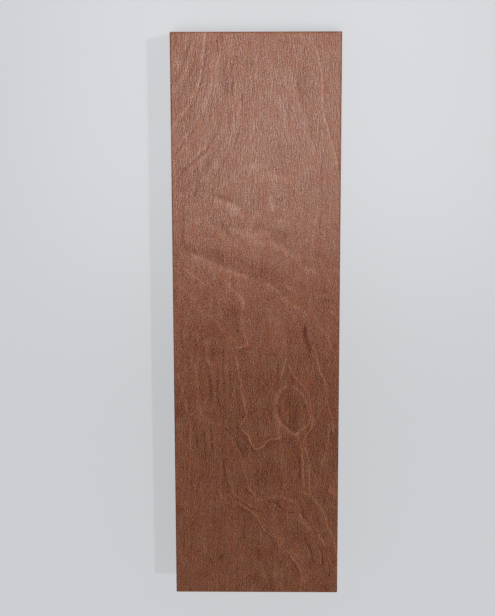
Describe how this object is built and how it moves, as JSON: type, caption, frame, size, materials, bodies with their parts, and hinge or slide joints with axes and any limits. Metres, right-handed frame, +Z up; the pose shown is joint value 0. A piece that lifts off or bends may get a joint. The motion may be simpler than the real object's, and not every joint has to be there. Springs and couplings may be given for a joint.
{
  "type": "wood turning blank",
  "caption": "Rectangular block of planed reddish-brown hardwood with lightly eased edges, stock for turning, carving or joinery.",
  "frame": {"origin": "middle of the back face, on the surface that the blank lies on", "axes": "+Y along the grain and the length, towards the end that is uppermost in the picture; +X across the width; +Z up, out of the show face"},
  "size_m": [0.0888, 0.3048, 0.0381],
  "materials": {
    "hardwood": "planed and fine sanded, unfinished, matt"
  },
  "bodies": {
    "root": {"turning_blank": "hardwood"}
  },
  "joints": []
}
